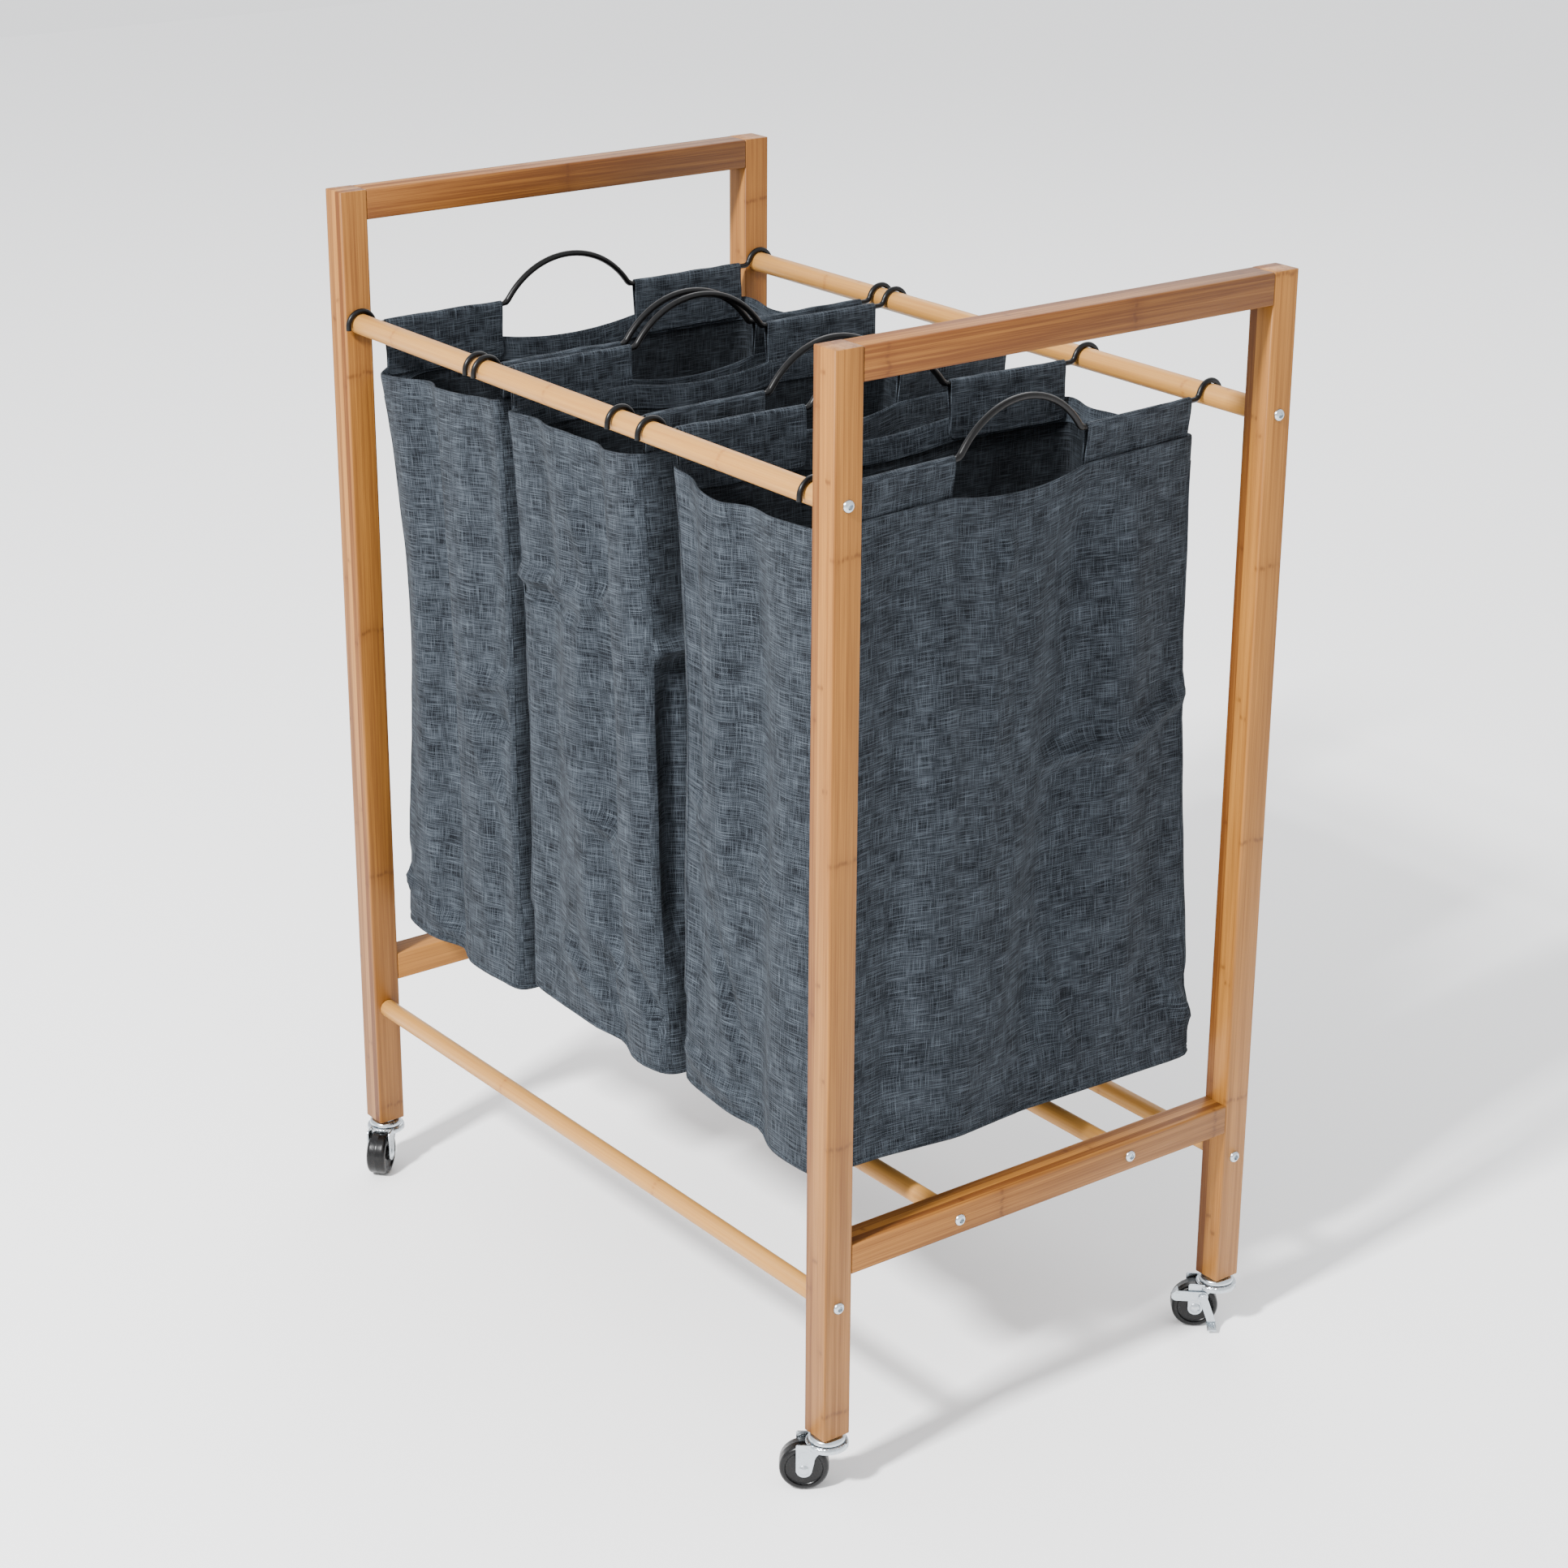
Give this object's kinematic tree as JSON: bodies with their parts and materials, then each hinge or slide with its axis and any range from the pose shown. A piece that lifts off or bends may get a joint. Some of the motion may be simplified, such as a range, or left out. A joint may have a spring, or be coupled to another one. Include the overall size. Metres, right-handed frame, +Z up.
{
  "type": "laundry sorter on wheels",
  "caption": "Open bamboo frame on swivel casters with fabric laundry bags hung side by side on wire hangers over two cross dowels.",
  "frame": {"origin": "on the floor, under the middle of the frame", "axes": "+X along the length towards the right end frame, +Y from front to back, +Z up"},
  "size_m": [0.719, 0.4955, 0.93],
  "materials": {
    "bamboo_bar": "clear satin lacquer on laminated bamboo strips",
    "bamboo_dowel": "clear satin lacquer on turned bamboo",
    "zinc_plate": "bright zinc plating",
    "wheel_plastic": "moulded, slightly shiny",
    "coated_wire": "black dipped coating, satin",
    "bag_cloth": "heathered slate-blue woven polyester with a dark coated inside"
  },
  "bodies": {
    "frame": {"post_front_left": "bamboo_bar", "post_front_right": "bamboo_bar", "post_back_left": "bamboo_bar", "post_back_right": "bamboo_bar", "top_rail_left": "bamboo_bar", "top_rail_right": "bamboo_bar", "lower_rail_left": "bamboo_bar", "lower_rail_right": "bamboo_bar", "hanging_dowel_front": "bamboo_dowel", "hanging_dowel_back": "bamboo_dowel", "base_dowel_front": "bamboo_dowel", "base_dowel_back": "bamboo_dowel", "base_dowel_mid_front": "bamboo_dowel", "base_dowel_mid_back": "bamboo_dowel", "frame_bolts": "zinc_plate", "dowel_inserts": "zinc_plate", "rail_joint_pins": "bamboo_dowel", "stem_inserts": "zinc_plate", "caster_front_left_stem": "zinc_plate", "caster_front_right_stem": "zinc_plate", "caster_back_left_stem": "zinc_plate", "caster_back_right_stem": "zinc_plate"},
    "swivel_front_left": {"caster_front_left_fork": "zinc_plate", "caster_front_left_axle": "zinc_plate", "caster_front_left_balls": "zinc_plate"},
    "wheel_front_left": {"caster_front_left_wheel": "wheel_plastic"},
    "swivel_front_right": {"caster_front_right_fork": "zinc_plate", "caster_front_right_axle": "zinc_plate", "caster_front_right_balls": "zinc_plate"},
    "wheel_front_right": {"caster_front_right_wheel": "wheel_plastic"},
    "swivel_back_left": {"caster_back_left_fork": "zinc_plate", "caster_back_left_axle": "zinc_plate", "caster_back_left_balls": "zinc_plate", "brake_pin_back_left": "zinc_plate"},
    "wheel_back_left": {"caster_back_left_wheel": "wheel_plastic"},
    "brake_back_left": {"brake_lever_back_left": "zinc_plate"},
    "swivel_back_right": {"caster_back_right_fork": "zinc_plate", "caster_back_right_axle": "zinc_plate", "caster_back_right_balls": "zinc_plate", "brake_pin_back_right": "zinc_plate"},
    "wheel_back_right": {"caster_back_right_wheel": "wheel_plastic"},
    "brake_back_right": {"brake_lever_back_right": "zinc_plate"},
    "bag_left": {"bag_left_fabric": "bag_cloth", "bag_left_hanger_left": "coated_wire", "bag_left_hanger_right": "coated_wire"},
    "bag_middle": {"bag_middle_fabric": "bag_cloth", "bag_middle_hanger_left": "coated_wire", "bag_middle_hanger_right": "coated_wire"},
    "bag_right": {"bag_right_fabric": "bag_cloth", "bag_right_hanger_left": "coated_wire", "bag_right_hanger_right": "coated_wire"}
  },
  "joints": [
    {"name": "swivel_front_left_turn", "type": "hinge", "parent": "frame", "child": "swivel_front_left", "pos_m": [-0.342, -0.213, 0.035], "axis": [0, 0, 1], "continuous": true},
    {"name": "wheel_front_left_roll", "type": "hinge", "parent": "swivel_front_left", "child": "wheel_front_left", "pos_m": [-0.32996, -0.22638, 0.02], "axis": [0.7431, 0.6691, 0], "continuous": true},
    {"name": "swivel_front_right_turn", "type": "hinge", "parent": "frame", "child": "swivel_front_right", "pos_m": [0.342, -0.213, 0.035], "axis": [0, 0, 1], "continuous": true},
    {"name": "wheel_front_right_roll", "type": "hinge", "parent": "swivel_front_right", "child": "wheel_front_right", "pos_m": [0.33107, -0.2273, 0.02], "axis": [0.7944, -0.6074, 0], "continuous": true},
    {"name": "swivel_back_left_turn", "type": "hinge", "parent": "frame", "child": "swivel_back_left", "pos_m": [-0.342, 0.213, 0.035], "axis": [0, 0, 1], "continuous": true},
    {"name": "wheel_back_left_roll", "type": "hinge", "parent": "swivel_back_left", "child": "wheel_back_left", "pos_m": [-0.32787, 0.22416, 0.02], "axis": [-0.6198, 0.7848, 0], "continuous": true},
    {"name": "brake_back_left_press", "type": "hinge", "parent": "swivel_back_left", "child": "brake_back_left", "pos_m": [-0.33258, 0.22044, 0.032], "axis": [-0.6198, 0.7848, 0], "range_deg": [0, 8]},
    {"name": "swivel_back_right_turn", "type": "hinge", "parent": "frame", "child": "swivel_back_right", "pos_m": [0.342, 0.213, 0.035], "axis": [0, 0, 1], "continuous": true},
    {"name": "wheel_back_right_roll", "type": "hinge", "parent": "swivel_back_right", "child": "wheel_back_right", "pos_m": [0.33107, 0.1987, 0.02], "axis": [0.7944, -0.6074, 0], "continuous": true},
    {"name": "brake_back_right_press", "type": "hinge", "parent": "swivel_back_right", "child": "brake_back_right", "pos_m": [0.33471, 0.20347, 0.032], "axis": [0.7944, -0.6074, 0], "range_deg": [0, 8]},
    {"name": "bag_left_lift", "type": "slide", "parent": "frame", "child": "bag_left", "axis": [0, 0, 1], "range_m": [0, 0.62]},
    {"name": "bag_middle_lift", "type": "slide", "parent": "frame", "child": "bag_middle", "axis": [0, 0, 1], "range_m": [0, 0.62]},
    {"name": "bag_right_lift", "type": "slide", "parent": "frame", "child": "bag_right", "axis": [0, 0, 1], "range_m": [0, 0.62]}
  ]
}
